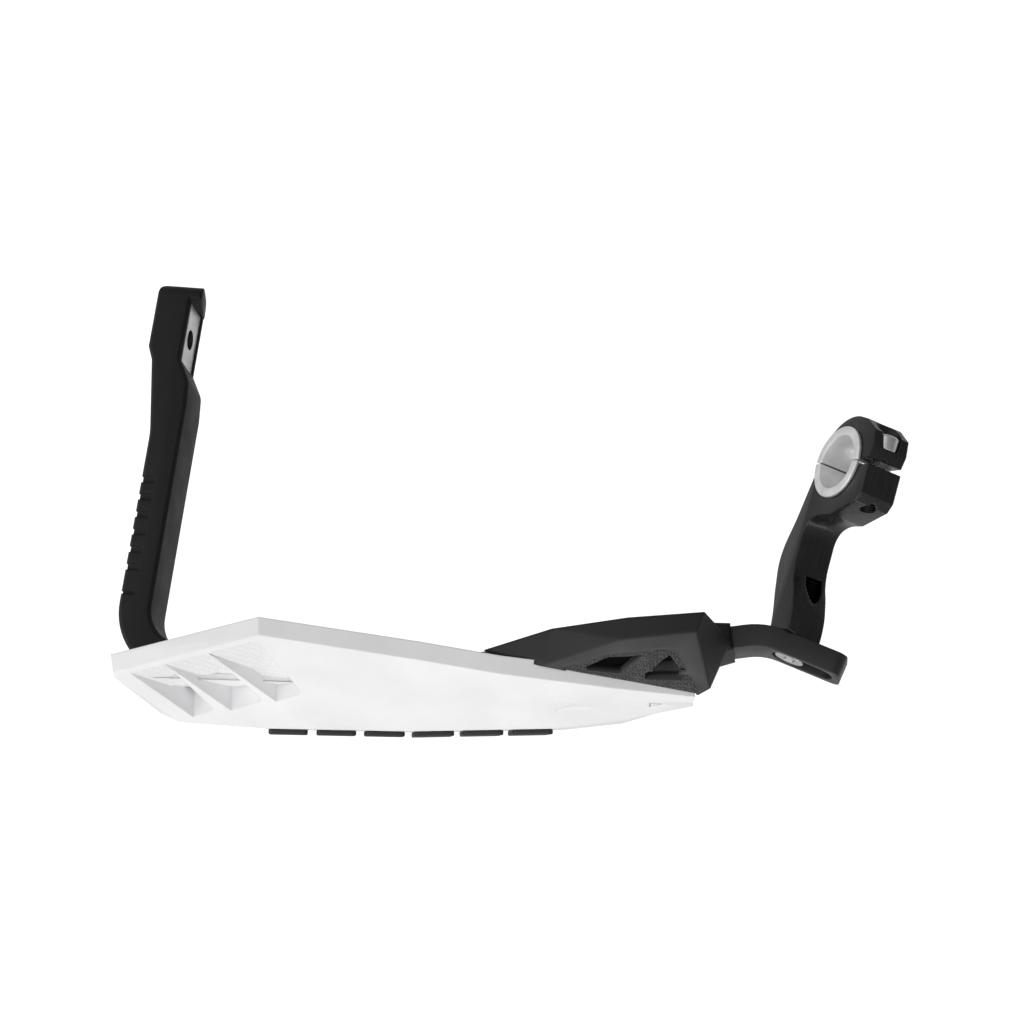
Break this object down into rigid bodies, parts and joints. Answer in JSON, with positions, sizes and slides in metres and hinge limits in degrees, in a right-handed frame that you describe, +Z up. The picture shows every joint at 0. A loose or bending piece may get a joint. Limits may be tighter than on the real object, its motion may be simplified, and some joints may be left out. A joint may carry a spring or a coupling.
{
  "type": "motorcycle hand guard",
  "caption": "Closed right-hand guard: bent alloy bar in a moulded cover, white faceted shield with scoop vents, black inner cover and a swivelling handlebar clamp.",
  "frame": {"origin": "centre of the bar-end bolt hole, on the face that the handlebar's end butts against", "axes": "+X inboard along the handlebar, +Y to the rear (the rider), +Z up"},
  "size_m": [0.3178, 0.1845, 0.0878],
  "materials": {
    "white_plastic": "moulded, satin gloss",
    "black_plastic": "moulded, fine grain",
    "dark_alloy": "dark grey satin coat",
    "bare_alloy": "bare turned",
    "steel": "zinc plated",
    "brass": "plain"
  },
  "bodies": {
    "guard": {"alloy_bar": "dark_alloy", "bar_cover": "black_plastic", "shield": "white_plastic", "inner_cover": "black_plastic", "trim_pad_1": "black_plastic", "trim_pad_2": "black_plastic", "trim_pad_3": "black_plastic", "trim_pad_4": "black_plastic", "trim_pad_5": "black_plastic", "trim_pad_6": "black_plastic", "shield_screw_1": "steel", "shield_insert_1": "brass", "shield_screw_2": "steel", "shield_insert_2": "brass", "shield_screw_3": "steel", "shield_insert_3": "brass"},
    "slider": {"slide_washer": "steel"},
    "clamp": {"clamp_arm": "dark_alloy", "clamp_cap": "dark_alloy", "sleeve_upper": "bare_alloy", "sleeve_lower": "bare_alloy", "pinch_bolt": "steel", "pivot_bolt": "steel"}
  },
  "joints": [
    {"name": "pivot_slide", "type": "slide", "parent": "guard", "child": "slider", "axis": [0.9527, -0.304, 0], "range_m": [-0.0006, 0.012]},
    {"name": "clamp_swivel", "type": "hinge", "parent": "slider", "child": "clamp", "pos_m": [0.26693, -0.10718, 0], "axis": [0.304, 0.9527, 0], "range_deg": [-35, 20]}
  ]
}
